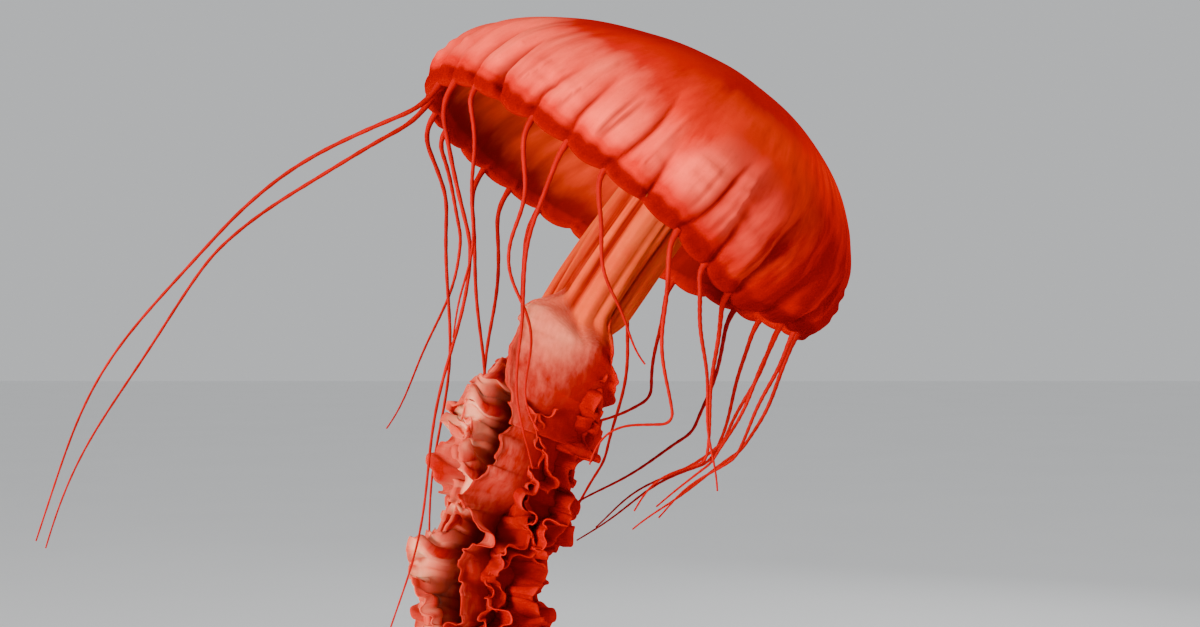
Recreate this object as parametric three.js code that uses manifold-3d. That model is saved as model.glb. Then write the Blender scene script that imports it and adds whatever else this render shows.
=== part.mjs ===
// A life-size Pacific sea nettle (Chrysaora fuscescens) on a plain display stand, in millimetres, +Z up.
// The origin is the centre of the stand base's underside. The animal's near side faces -Y.
import * as THREE from 'three';
import { mergeVertices } from 'three/addons/utils/BufferGeometryUtils.js';
import Module from 'manifold-3d';

const wasm = await Module();
wasm.setup();

// Driving dimensions.
const gap = 0.3; // between pieces that touch

const bellCentre = new THREE.Vector3(48, -10, 600); // middle of the bell's mouth
const bellRadius = 150;
const bellHeight = 110;
const bellBank = 33; // degrees, the crown leaning to +X
const bellTilt = 8; // degrees, the crown leaning to +Y
const crownShift = 0.16; // how far the crown sits toward the low side, as a share of the radius
const shoulder = 1.05; // 1 is an ellipse, more is a slimmer shoulder
const highSideTuck = 0.07; // how far the rim curls in on the high side
const mouthAngle = 94; // degrees from the crown down to the rim
const crownThickness = 17;
const rimThickness = 8;
const marginStart = 0.87; // where the thick margin begins, from 0 at the crown to 1 at the rim
const bellEnd = marginStart - gap / bellRadius;
const marginBulge = 1.5;
const lappetLength = 5;

const octants = 8;
const lappetsPerOctant = 4;
const firstRhopalium = 8; // degrees round the bell from the low side
const bellSegments = 48;
const marginSegments = 96;

const outerRows = 8;
const innerRows = 7;
const footRows = 2; // of the inner rows, how many the manubrium's foot spreads over
const manubriumSegments = 24;
const manubriumRadius = 25.5;
const footFlare = 25;
const footFlareDrop = 16; // the drop over which the flare of the foot fades
const manubriumLobe = 0.1;
const manubriumLength = 110; // measured straight down from the top of the axis

const axisTop = new THREE.Vector3(118, 3, 659);
const axisEnd = new THREE.Vector3(-65, -28, 51);
const axisSettle = 176; // the drop over which the slanting axis turns to hang straight
const axisCurve = 1.25;

const armTopRadius = 27;
const armTipShare = 0.34; // of an arm's full reach, what is left at its tip
const armFullDrop = 168;
const armTaperDrop = 300;
const armEndDrop = 606; // of the longest arm
const armCuts = [268, 430];
const armTwist = 40; // degrees over the length of the arms
const armSplayDrop = 290; // below it the arms drift apart
const armSplay = 24;
const frillStep = 0.05; // each second ring stands out by this share of the reach
const ringSpacing = 21;

const tentacleRootRadius = 1.8;
const tentacleTipRadius = 0.65;
const tentacleSides = 5;
const pathSteps = 96; // the small steps that each tentacle's path is followed by
const tentacleStep = 8; // of those, in each step of its solid

const baseRadius = 130;
const baseHeight = 12;
const baseEdge = 2;
const baseSegments = 40;
const rodRadius = 5;
const rodSteps = 16;
const rodSides = 10;

const radians = THREE.MathUtils.degToRad;
const mix = THREE.MathUtils.lerp;
const ease = THREE.MathUtils.smoothstep;
const acrossView = new THREE.Vector3(0, 1, 0);

// The bell's own frame: X toward the low side, Y away, Z up through the crown.
const bellUp = new THREE.Vector3(
  Math.sin(radians(bellBank)) * Math.cos(radians(bellTilt)),
  Math.sin(radians(bellTilt)),
  Math.cos(radians(bellBank)) * Math.cos(radians(bellTilt)),
);
const bellLow = new THREE.Vector3(Math.cos(radians(bellBank)), 0, -Math.sin(radians(bellBank)));
const bellBack = new THREE.Vector3().crossVectors(bellUp, bellLow);
const bellPlace = new THREE.Matrix4().makeBasis(bellLow, bellBack, bellUp).setPosition(bellCentre);

// Closes a stack of equal rings into one body. Two tips close its ends, or the last ring meets the first.
function bodyOfRings(rings, tips) {
  const count = rings[0].length;
  const points = rings.flat();
  const faces = [];
  const bands = tips ? rings.length - 1 : rings.length;
  for (let row = 0; row < bands; row += 1) {
    const here = row * count;
    const next = ((row + 1) % rings.length) * count;
    for (let i = 0; i < count; i += 1) {
      const j = (i + 1) % count;
      faces.push(here + i, here + j, next + j);
      faces.push(here + i, next + j, next + i);
    }
  }
  if (tips) {
    const last = (rings.length - 1) * count;
    for (let i = 0; i < count; i += 1) {
      const j = (i + 1) % count;
      faces.push(points.length, j, i);
      faces.push(points.length + 1, last + i, last + j);
    }
    points.push(tips[0], tips[1]);
  }
  const geometry = new THREE.BufferGeometry().setFromPoints(points);
  geometry.setIndex(faces);
  if (signedVolume(geometry) < 0) {
    geometry.setIndex(faces.reverse());
  }
  return geometry;
}

function signedVolume(geometry) {
  const corners = [new THREE.Vector3(), new THREE.Vector3(), new THREE.Vector3()];
  const { position } = geometry.attributes;
  let sum = 0;
  for (let i = 0; i < geometry.index.count; i += 3) {
    corners.forEach((corner, k) => corner.fromBufferAttribute(position, geometry.index.getX(i + k)));
    sum += corners[0].dot(corners[1].clone().cross(corners[2])) / 6;
  }
  return sum;
}

function toSolid(geometry) {
  const bare = geometry.clone();
  bare.deleteAttribute('normal');
  bare.deleteAttribute('uv');
  const merged = mergeVertices(bare, 1e-4);
  const vertProperties = new Float32Array(merged.attributes.position.array);
  const triVerts = new Uint32Array(merged.index.array);
  return new wasm.Manifold(new wasm.Mesh({ numProp: 3, vertProperties, triVerts }));
}

function toGeometry(solid) {
  const mesh = solid.getMesh();
  const geometry = new THREE.BufferGeometry();
  geometry.setAttribute('position', new THREE.BufferAttribute(mesh.vertProperties, 3));
  geometry.setIndex(new THREE.BufferAttribute(mesh.triVerts, 1));
  return geometry;
}

function cutAway(geometry, tools) {
  return toGeometry(tools.reduce((solid, tool) => solid.subtract(tool), toSolid(geometry)));
}

function mesh(name, geometry, color, roughness = 0.35, metalness = 0) {
  const shaded = geometry.toNonIndexed();
  shaded.computeVertexNormals();
  const made = new THREE.Mesh(shaded, new THREE.MeshStandardMaterial({ color, roughness, metalness }));
  made.name = name;
  return made;
}

// The angle from the crown to the rim varies round the mouth: the near low side hangs lowest.
function rimAngle(theta) {
  const lean = -0.06 * Math.sin(theta) - 0.02 * Math.cos(2 * theta) - 0.06 * Math.sin(2 * theta);
  const away = THREE.MathUtils.euclideanModulo(theta - radians(312) + Math.PI, 2 * Math.PI) - Math.PI;
  const fold = 0.1 * Math.exp(-((away / 0.28) ** 2));
  return radians(mouthAngle) + lean + fold;
}

// A point of the bell in its own frame: round by theta, down by share (0 crown, 1 rim), depth mm inside.
function bellPoint(theta, share, depth) {
  const angle = share * rimAngle(theta);
  const curl = highSideTuck * THREE.MathUtils.clamp((share - 0.6) / 0.4, 0, 1.2) ** 2;
  const radius = (bellRadius - depth) * Math.sin(angle) ** shoulder;
  const reach = radius * (1 - curl * (0.5 - 0.5 * Math.cos(theta)));
  const height = (bellHeight - depth) * Math.cos(angle);
  const shift = crownShift * (bellRadius - depth) * Math.cos(angle);
  return new THREE.Vector3(reach * Math.cos(theta) + shift, reach * Math.sin(theta), height);
}

function wallThickness(share) {
  return mix(crownThickness, rimThickness, ease(share, 0, 0.85));
}

function bellRing(count, share, depth) {
  return Array.from({ length: count }, (_, i) => bellPoint((2 * Math.PI * i) / count, share, depth));
}

function innerRing(count, row, extra) {
  const share = (bellEnd * row) / innerRows;
  return bellRing(count, share, wallThickness(share) + extra);
}

function bellBody() {
  const rings = [];
  for (let row = 1; row <= outerRows; row += 1) {
    rings.push(bellRing(bellSegments, (bellEnd * row) / outerRows, 0));
  }
  for (let row = innerRows; row >= 1; row -= 1) {
    rings.push(innerRing(bellSegments, row, 0));
  }
  return bodyOfRings(rings, [bellPoint(0, 0, 0), bellPoint(0, 0, crownThickness)]);
}

// The thick rolled margin, scalloped into lappets with a cleft at each tentacle and each rhopalium.
function marginBody(grow) {
  const grown = grow / bellRadius;
  const section = [
    [marginStart - grown, -grow],
    [0.92, -marginBulge - grow],
    [0.97, -marginBulge - grow],
    [0.99 + grown, 3],
    [0.99 + grown, 8],
    [0.95, 11.5 + grow],
    [marginStart - grown, rimThickness + grow],
  ];
  const rings = section.map(([share, depth]) => {
    const ring = [];
    for (let i = 0; i < marginSegments; i += 1) {
      const theta = radians(firstRhopalium) + (2 * Math.PI * i) / marginSegments;
      const bulge = Math.abs(Math.sin((theta - radians(firstRhopalium)) * octants * lappetsPerOctant * 0.5));
      const hang = share > 0.96 ? (lappetLength * bulge) / bellRadius : 0;
      ring.push(bellPoint(theta, share + hang, depth));
    }
    return ring;
  });
  return bodyOfRings(rings, null);
}

// The centre line of the manubrium and the arms, by the drop below its top.
function axisPoint(drop) {
  const stay = Math.exp(-((drop / axisSettle) ** axisCurve));
  return new THREE.Vector3(
    mix(axisEnd.x, axisTop.x, stay) + 12 * (drop / armEndDrop) ** 3,
    mix(axisEnd.y, axisTop.y, stay),
    axisTop.z - drop,
  );
}

function axisFrame(drop) {
  const centre = axisPoint(drop);
  const down = axisPoint(drop + 1).sub(axisPoint(Math.max(drop - 1, 0))).normalize();
  const right = new THREE.Vector3().crossVectors(down, acrossView).normalize();
  const back = new THREE.Vector3().crossVectors(right, down).normalize();
  return { centre, right, back };
}

function aroundAxis(frame, radius, angle) {
  return frame.centre.clone()
    .addScaledVector(frame.right, radius * Math.cos(angle))
    .addScaledVector(frame.back, radius * Math.sin(angle));
}

function manubriumBody() {
  const rings = [];
  for (let row = 1; row <= footRows; row += 1) {
    rings.push(innerRing(manubriumSegments, row, gap).map((point) => point.applyMatrix4(bellPlace)));
  }
  const end = manubriumLength - gap;
  for (const drop of [14, 26, 44, 66, 88, end]) {
    const frame = axisFrame(drop);
    const radius = manubriumRadius + footFlare * Math.exp(-drop / footFlareDrop);
    const ring = [];
    for (let i = 0; i < manubriumSegments; i += 1) {
      const angle = (2 * Math.PI * i) / manubriumSegments;
      ring.push(aroundAxis(frame, radius * (1 + manubriumLobe * Math.cos(4 * angle)), angle));
    }
    rings.push(ring);
  }
  const top = bellPoint(0, 0, crownThickness + gap).applyMatrix4(bellPlace);
  return bodyOfRings(rings, [top, axisPoint(end)]);
}

// Each arm swells and narrows in lobes along its length.
const arms = [
  { name: 'oral_arm_right', angle: 0, radius: 46, swell: 4, pitch: 62, peak: 188, end: 560, color: 0xc4200a },
  { name: 'oral_arm_back', angle: 90, radius: 37, swell: 3, pitch: 80, peak: 240, end: 590, color: 0xb01a08 },
  { name: 'oral_arm_left', angle: 180, radius: 39, swell: 11, pitch: 86, peak: 203, end: 575, color: 0xef8b74 },
  { name: 'oral_arm_front', angle: 270, radius: 40, swell: 7, pitch: 92, peak: 152, end: 606, color: 0xf09a84 },
];

function armReach(arm, drop) {
  const spread = ease(drop, manubriumLength, armFullDrop);
  const lobes = arm.swell * Math.cos((2 * Math.PI * (drop - arm.peak)) / arm.pitch);
  const taper = mix(1, armTipShare, ease(drop, armTaperDrop, arm.end));
  return mix(armTopRadius, arm.radius + lobes, spread) * taper;
}

function armLength(arm, from, to) {
  const petal = [[0, 0.16], [34, 0.4], [38, 0.7], [28, 0.93], [10, 1], [-10, 1], [-28, 0.93], [-38, 0.7], [-34, 0.4]];
  const rows = Math.round((to - from) / ringSpacing);
  const rings = [];
  for (let row = 0; row <= rows; row += 1) {
    const drop = mix(from + gap / 2, to - gap / 2, row / rows);
    const frame = axisFrame(drop);
    const twist = (armTwist * (drop - manubriumLength)) / (armEndDrop - manubriumLength);
    const turn = arm.angle + twist;
    const splay = armSplay * ease(drop, armSplayDrop, armEndDrop);
    frame.centre.copy(aroundAxis(frame, splay, radians(turn)));
    const frill = row === 0 || row === rows ? 1 : 1 + frillStep * (-1) ** row;
    const ring = petal.map(([side, share]) => {
      const reach = Math.max(share * armReach(arm, drop) * (share > 0.5 ? frill : 1), 2.5);
      return aroundAxis(frame, reach, radians(turn + side));
    });
    rings.push(ring);
  }
  const middle = (ring) => ring.reduce((sum, point) => sum.add(point), new THREE.Vector3()).divideScalar(ring.length);
  return bodyOfRings(rings, [middle(rings[0]), middle(rings[rows])]);
}

// One row a tentacle, three to an octant, counted round from the low side: its length, the heading it
// leaves and ends with (degrees from straight down, + toward +X), the size and phase of its wave,
// where it kinks and by how much, and how far it drifts toward +Y.
const tentacles = [
  [190, -18, -40, 8, 0.2, 0.45, -30, 8],
  [210, -14, -34, 8, 0.6, 0.5, -38, 4],
  [230, -10, -30, 8, 0.1, 0.4, -42, -6],
  [225, -6, -14, 10, 0.4, 0.38, -60, -24],
  [290, -4, -12, 10, 0.9, 0.5, -30, -14],
  [330, -4, -14, 9, 0.3, 0.6, -16, 10],
  [350, -2, -16, 9, 0.7, 0.5, 0, 16],
  [360, 4, -20, 9, 0.2, 0.5, 0, 24],
  [370, 10, -22, 8, 0.5, 0.3, 0, 4],
  [215, 24, -26, 5, 0.4, 0.35, -16, 4],
  [340, 26, -2, 6, 0.4, 0.18, -18, -4],
  [385, -66, -22, 4, 0.1, 0.45, 6, -26],
  [385, -72, -16, 4, 0.4, 0.4, 2, -14],
  [340, 14, -8, 6, 0.7, 0.3, -14, -6],
  [150, 9, -16, 7, 0.1, 0.5, 0, 10],
  [185, -8, 14, 20, 0, 0.5, 0, 12],
  [190, -24, 12, 6, 0.3, 0.5, 0, 8],
  [115, -8, 34, 8, 0.9, 0.5, 0, 0],
  [165, -8, 16, 7, 0.1, 0.66, -92, -8],
  [130, 2, 6, 6, 0.4, 0.5, 0, -10],
  [150, -6, -6, 5, 0.2, 0.66, -62, -8],
  [140, -22, -34, 5, 0.5, 0.7, -26, -6],
  [150, -20, -36, 6, 0.2, 0.6, -24, -2],
  [170, -20, -38, 6, 0.8, 0.5, -26, 4],
];
const longTentacle = 180; // a longer one is made in two lengths

function tentacleAngle(index) {
  const inOctant = 1 + (index % 3);
  const octant = Math.floor(index / 3);
  return radians(firstRhopalium + 45 * octant + 11.25 * inOctant);
}

// Follows one tentacle from inside the margin by small steps, and returns its points.
function tentaclePath(index) {
  const [length, first, last, wave, phase, kinkAt, kinkTurn, drift] = tentacles[index];
  const point = bellPoint(tentacleAngle(index), 0.985, 6).applyMatrix4(bellPlace);
  const path = [point.clone()];
  for (let step = 0; step < pathSteps; step += 1) {
    const s = (step + 0.5) / pathSteps;
    const swing = wave * Math.sin(2 * Math.PI * (2.2 * s + phase)) * ease(s, 0, 0.3);
    const kink = kinkTurn * (ease(s, kinkAt - 0.04, kinkAt + 0.04) - 0.55 * ease(s, kinkAt + 0.1, 1));
    const heading = radians(mix(first, last, s) + swing + kink);
    const along = new THREE.Vector3(Math.sin(heading), drift / length, -Math.cos(heading)).normalize();
    along.lerp(bellUp.clone().negate(), 1 - ease(s, 0, 0.1)).normalize();
    point.addScaledVector(along, length / pathSteps);
    path.push(point.clone());
  }
  return path;
}

// The place, direction and radius at a distance along a path, counted in its steps.
function stationOn(path, place, radius) {
  const k = Math.min(Math.floor(place), path.length - 2);
  const along = path[Math.min(k + 2, path.length - 1)].clone().sub(path[Math.max(k - 1, 0)]).normalize();
  return { centre: path[k].clone().lerp(path[k + 1], place - k), along, radius };
}

function tube(stations, sides) {
  const rings = stations.map(({ centre, along, radius }) => {
    const side = new THREE.Vector3().crossVectors(along, acrossView).normalize();
    const back = new THREE.Vector3().crossVectors(side, along).normalize();
    return Array.from({ length: sides }, (_, i) => {
      const angle = (2 * Math.PI * i) / sides;
      return centre.clone()
        .addScaledVector(side, radius * Math.cos(angle))
        .addScaledVector(back, radius * Math.sin(angle));
    });
  });
  return bodyOfRings(rings, [stations[0].centre, stations[stations.length - 1].centre]);
}

function tentacleLength(path, from, to) {
  const rows = Math.round((to - from) / tentacleStep);
  const stations = [];
  for (let row = 0; row <= rows; row += 1) {
    const place = mix(from, to, row / rows);
    const radius = mix(tentacleRootRadius, tentacleTipRadius, place / (path.length - 1));
    stations.push(stationOn(path, place, radius));
  }
  return tube(stations, tentacleSides);
}

function standBase() {
  const profile = [
    [0, 0],
    [baseRadius, 0],
    [baseRadius, baseHeight - baseEdge],
    [baseRadius - baseEdge, baseHeight],
    [0, baseHeight],
  ];
  return new THREE.LatheGeometry(profile.map(([x, y]) => new THREE.Vector2(x, y)), baseSegments).rotateX(Math.PI / 2);
}

// The rod rises behind the arms and bends forward into the back of the manubrium.
function standRod(grow) {
  const route = new THREE.CatmullRomCurve3([
    new THREE.Vector3(-24, 38, baseHeight + gap - grow),
    new THREE.Vector3(-26, 38, 200),
    new THREE.Vector3(-22, 38, 370),
    new THREE.Vector3(6, 38, 480),
    new THREE.Vector3(32, 20, 538),
    new THREE.Vector3(45, 4, 566),
  ], false, 'centripetal');
  const path = route.getPoints(rodSteps);
  return tube(path.map((_, k) => stationOn(path, k, rodRadius + grow)), rodSides);
}

const jellyfish = new THREE.Group();
const bell = new THREE.Group();
bell.applyMatrix4(bellPlace);
bell.add(mesh('bell', bellBody(), 0xe8412a));
bell.add(mesh('bell_margin', marginBody(0), 0xc80000));
jellyfish.add(bell);

const rodSocket = toSolid(standRod(gap));
jellyfish.add(mesh('manubrium', cutAway(manubriumBody(), [rodSocket]), 0xe06c47));
const lengthNames = ['upper', 'middle', 'lower'];
for (const arm of arms) {
  const cuts = [manubriumLength, ...armCuts, arm.end];
  lengthNames.forEach((part, k) => {
    const body = cutAway(armLength(arm, cuts[k], cuts[k + 1]), [rodSocket]);
    jellyfish.add(mesh(`${arm.name}_${part}`, body, arm.color));
  });
}

const marginRoom = toSolid(marginBody(gap).applyMatrix4(bellPlace));
tentacles.forEach(([length], index) => {
  const path = tentaclePath(index);
  const name = `tentacle_${String(index + 1).padStart(2, '0')}`;
  if (length > longTentacle) {
    const half = pathSteps / 2;
    const cut = (pathSteps * gap) / length / 2;
    const upper = cutAway(tentacleLength(path, 0, half - cut), [marginRoom]);
    jellyfish.add(mesh(`${name}_upper`, upper, 0xb30a02));
    jellyfish.add(mesh(`${name}_lower`, tentacleLength(path, half + cut, pathSteps), 0x9c0802));
  } else {
    jellyfish.add(mesh(name, cutAway(tentacleLength(path, 0, pathSteps), [marginRoom]), 0xb30a02));
  }
});

jellyfish.add(mesh('stand_base', standBase(), 0x1d1d1f, 0.45, 0.2));
jellyfish.add(mesh('stand_rod', standRod(0), 0xb9bcc0, 0.3, 1));

export default jellyfish;
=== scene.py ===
import math

import bpy
import numpy as np
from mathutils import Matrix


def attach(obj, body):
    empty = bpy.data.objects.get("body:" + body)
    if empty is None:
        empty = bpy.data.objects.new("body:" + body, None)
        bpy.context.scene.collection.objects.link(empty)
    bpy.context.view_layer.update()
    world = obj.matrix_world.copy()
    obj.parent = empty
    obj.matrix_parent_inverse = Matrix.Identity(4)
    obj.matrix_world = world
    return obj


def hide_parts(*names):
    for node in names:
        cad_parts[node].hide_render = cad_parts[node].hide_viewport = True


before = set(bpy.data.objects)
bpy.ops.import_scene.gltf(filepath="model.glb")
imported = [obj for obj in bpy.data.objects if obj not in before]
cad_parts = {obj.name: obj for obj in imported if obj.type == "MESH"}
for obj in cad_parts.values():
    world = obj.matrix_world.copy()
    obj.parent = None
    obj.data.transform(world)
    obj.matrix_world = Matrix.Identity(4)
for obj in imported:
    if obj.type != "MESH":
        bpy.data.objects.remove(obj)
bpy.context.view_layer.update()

mm = 0.001
print("frame loaded,", len(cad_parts), "nodes")


def deselectAll():
    if bpy.context.object and bpy.context.object.mode != "OBJECT":
        bpy.ops.object.mode_set(mode="OBJECT")
    bpy.ops.object.select_all(action="DESELECT")


def named(name):
    piece = bpy.context.object
    piece.name = name
    piece.data.name = name
    return piece


def pointsOf(piece):
    flat = np.empty(len(piece.data.vertices) * 3)
    piece.data.vertices.foreach_get("co", flat)
    return flat.reshape(-1, 3)


def movePoints(piece, points):
    # points are in millimetres
    piece.data.vertices.foreach_set("co", np.asarray(points * mm, dtype=np.float32).ravel())
    piece.data.update()


def addMask(piece, name, values):
    mask = piece.data.attributes.new(name, "FLOAT", "POINT")
    mask.data.foreach_set("value", np.clip(values, 0, 1).astype(np.float32).ravel())


def faceOutwards(piece):
    deselectAll()
    piece.select_set(True)
    bpy.context.view_layer.objects.active = piece
    bpy.ops.object.mode_set(mode="EDIT")
    bpy.ops.mesh.select_all(action="SELECT")
    bpy.ops.mesh.normals_make_consistent(inside=False)
    bpy.ops.object.mode_set(mode="OBJECT")
    bpy.ops.object.shade_smooth()


def ease(value, low, high):
    share = np.clip((value - low) / (high - low), 0, 1)
    return share * share * (3 - 2 * share)


def mix(low, high, share):
    return low + (high - low) * share


def unit(vectors):
    return vectors / np.linalg.norm(vectors, axis=-1, keepdims=True)


def ripple(a, b, seed):
    # a smooth uneven surface, about -1 to 1, the same every run
    total = 0
    for k in range(6):
        turn = seed * 1.7 + k * 2.399
        pace = 1.23 ** k
        total = total + np.sin(pace * (a * math.cos(turn) + b * math.sin(turn)) + turn * 3.1 + seed)
    return total / 3.4


def scatter(index, seed):
    # a number from 0 to 1 for each index, the same every run
    value = np.sin(np.asarray(index) * 12.9898 + seed * 78.233) * 437.585453
    return value - np.floor(value)


# The bell's shape and the animal's centre line follow the solids.
bell = {
    "centre": (48, -10, 600), "radius": 150, "height": 110,
    "bank": 33, "tilt": 8,  # degrees, the crown leaning to +X and to +Y
    "crownShift": 0.16, "shoulder": 1.05, "tuck": 0.07,
    "mouth": 94,  # degrees from the crown down to the rim
    "sag": 0.1, "sagAt": 312, "sagWidth": 0.28,  # a stretch of the rim that hangs lower
    "crownWall": 17, "rimWall": 8, "thinBy": 0.85,  # the wall thins from the crown down to this share
    "firstRhopalium": 8,
}
bank, tilt = math.radians(bell["bank"]), math.radians(bell["tilt"])
bellUp = np.array([math.sin(bank) * math.cos(tilt), math.sin(tilt), math.cos(bank) * math.cos(tilt)])
bellLow = np.array([math.cos(bank), 0, -math.sin(bank)])
bellBack = np.cross(bellUp, bellLow)
bellCentre = np.array(bell["centre"], dtype=float)
firstRhopalium = math.radians(bell["firstRhopalium"])


def awayFrom(theta, degrees):
    return (theta - math.radians(degrees) + math.pi) % (2 * math.pi) - math.pi


def hump(off, width):
    return np.exp(-(off / width) ** 2)


def rimAngle(theta):
    lean = -0.06 * np.sin(theta) - 0.02 * np.cos(2 * theta) - 0.06 * np.sin(2 * theta)
    sag = bell["sag"] * hump(awayFrom(theta, bell["sagAt"]), bell["sagWidth"])
    return math.radians(bell["mouth"]) + lean + sag


def bellPoint(theta, share, depth):
    # round by theta, down by share (0 crown, 1 rim), depth inside the outer face
    angle = share * rimAngle(theta)
    curl = bell["tuck"] * np.clip((share - 0.6) / 0.4, 0, 1.2) ** 2
    radius = (bell["radius"] - depth) * np.abs(np.sin(angle)) ** bell["shoulder"]
    reach = radius * (1 - curl * (0.5 - 0.5 * np.cos(theta)))
    across = reach * np.cos(theta) + bell["crownShift"] * (bell["radius"] - depth) * np.cos(angle)
    away = reach * np.sin(theta)
    high = (bell["height"] - depth) * np.cos(angle)
    return bellCentre + across[..., None] * bellLow + away[..., None] * bellBack + high[..., None] * bellUp


def wallThickness(share):
    return mix(bell["crownWall"], bell["rimWall"], ease(share, 0, bell["thinBy"]))


axis = {
    "top": (118, 3, 659), "end": (-65, -28, 51), "settle": 176, "curve": 1.25, "endDrop": 606, "drift": 12,
}


def axisPoint(drop):
    drop = np.asarray(drop, dtype=float)
    stay = np.exp(-(np.maximum(drop, 0) / axis["settle"]) ** axis["curve"])
    x = mix(axis["end"][0], axis["top"][0], stay) + axis["drift"] * (drop / axis["endDrop"]) ** 3
    y = mix(axis["end"][1], axis["top"][1], stay)
    return np.stack([x, y, axis["top"][2] - drop], -1)


def axisFrame(drop):
    down = unit(axisPoint(drop + 1) - axisPoint(np.maximum(drop - 1, 0)))
    right = unit(np.cross(down, [0.0, 1.0, 0.0]))
    return axisPoint(drop), right, unit(np.cross(right, down)), down


# Camera, floor and studio light.
view = {"distance": 1063, "side": 40, "height": 531, "lens": 50, "sensor": 36}
studio = {"air": (0.86, 0.88, 0.9, 1), "glow": 0.66, "floor": 24}  # the floor is in metres
camera = bpy.data.cameras.new("camera")
camera.lens = view["lens"]
camera.sensor_width = view["sensor"]
cameraObject = bpy.data.objects.new("camera", camera)
cameraAway = bell["centre"][1] - view["distance"]
cameraObject.location = (view["side"] * mm, cameraAway * mm, view["height"] * mm)
cameraObject.rotation_euler = (math.pi / 2, 0, 0)
bpy.context.collection.objects.link(cameraObject)
bpy.context.scene.camera = cameraObject


def areaLight(name, place, aim, size, power, color):
    lamp = bpy.data.lights.new(name, "AREA")
    lamp.shape = "DISK"
    lamp.size = size
    lamp.energy = power
    lamp.color = color
    holder = bpy.data.objects.new(name, lamp)
    holder.location = place
    way = np.array(aim) - np.array(place)
    lean = math.atan2(math.hypot(way[0], way[1]), -way[2])
    holder.rotation_euler = (lean, 0, math.atan2(way[1], way[0]) - math.pi / 2)
    bpy.context.collection.objects.link(holder)


# place, aim and size are in metres, and power in watts
areaLight("keyLight", (-1.5, -1.8, 0.75), (0, 0, 0.5), 0.8, 128, (1, 0.98, 0.96))
areaLight("fillLight", (1.9, -1.5, 0.8), (0, 0, 0.45), 1.6, 18, (1, 0.97, 0.95))
areaLight("backLight", (0.8, 1.9, 1.2), (0, 0, 0.5), 1.4, 7, (1, 1, 1))

world = bpy.data.worlds.new("studio")
world.use_nodes = True
world.node_tree.nodes["Background"].inputs["Color"].default_value = studio["air"]
world.node_tree.nodes["Background"].inputs["Strength"].default_value = studio["glow"]
bpy.context.scene.world = world

deselectAll()
bpy.ops.mesh.primitive_plane_add(size=studio["floor"], location=(0, 0, 0))
studioFloor = named("studio_floor")


# Materials.
def linear(hexColor):
    parts = [int(hexColor[i:i + 2], 16) / 255 for i in (1, 3, 5)]
    return [p / 12.92 if p <= 0.04045 else ((p + 0.055) / 1.055) ** 2.4 for p in parts] + [1.0]


def node(tree, kind, links=None, values=None, **settings):
    # adds a node with its properties, its sockets' values and the links into it
    made = tree.nodes.new(kind)
    for key, value in settings.items():
        setattr(made, key, value)
    for socket, value in (values or {}).items():
        made.inputs[socket].default_value = linear(value) if isinstance(value, str) else value
    for socket, source in (links or {}).items():
        tree.links.new(source, made.inputs[socket])
    return made


def newMaterial(name, **shader):
    material = bpy.data.materials.new(name)
    material.use_nodes = True
    surface = material.node_tree.nodes["Principled BSDF"]
    for key, value in shader.items():
        surface.inputs[key.replace("_", " ")].default_value = value
    return material, material.node_tree, surface


def give(piece, material):
    piece.data.materials.clear()
    piece.data.materials.append(material)


# what all the tissues share. Sizes are in millimetres.
tissue = {
    "scatter": (1.0, 0.22, 0.14), "cloud": 30, "cloudRange": (0.36, 0.66), "speckRange": (0.54, 0.72),
    "speck": 0.1, "streakHeight": 8.0, "bump": 0.35, "bumpHeight": 0.07,
}


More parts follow.
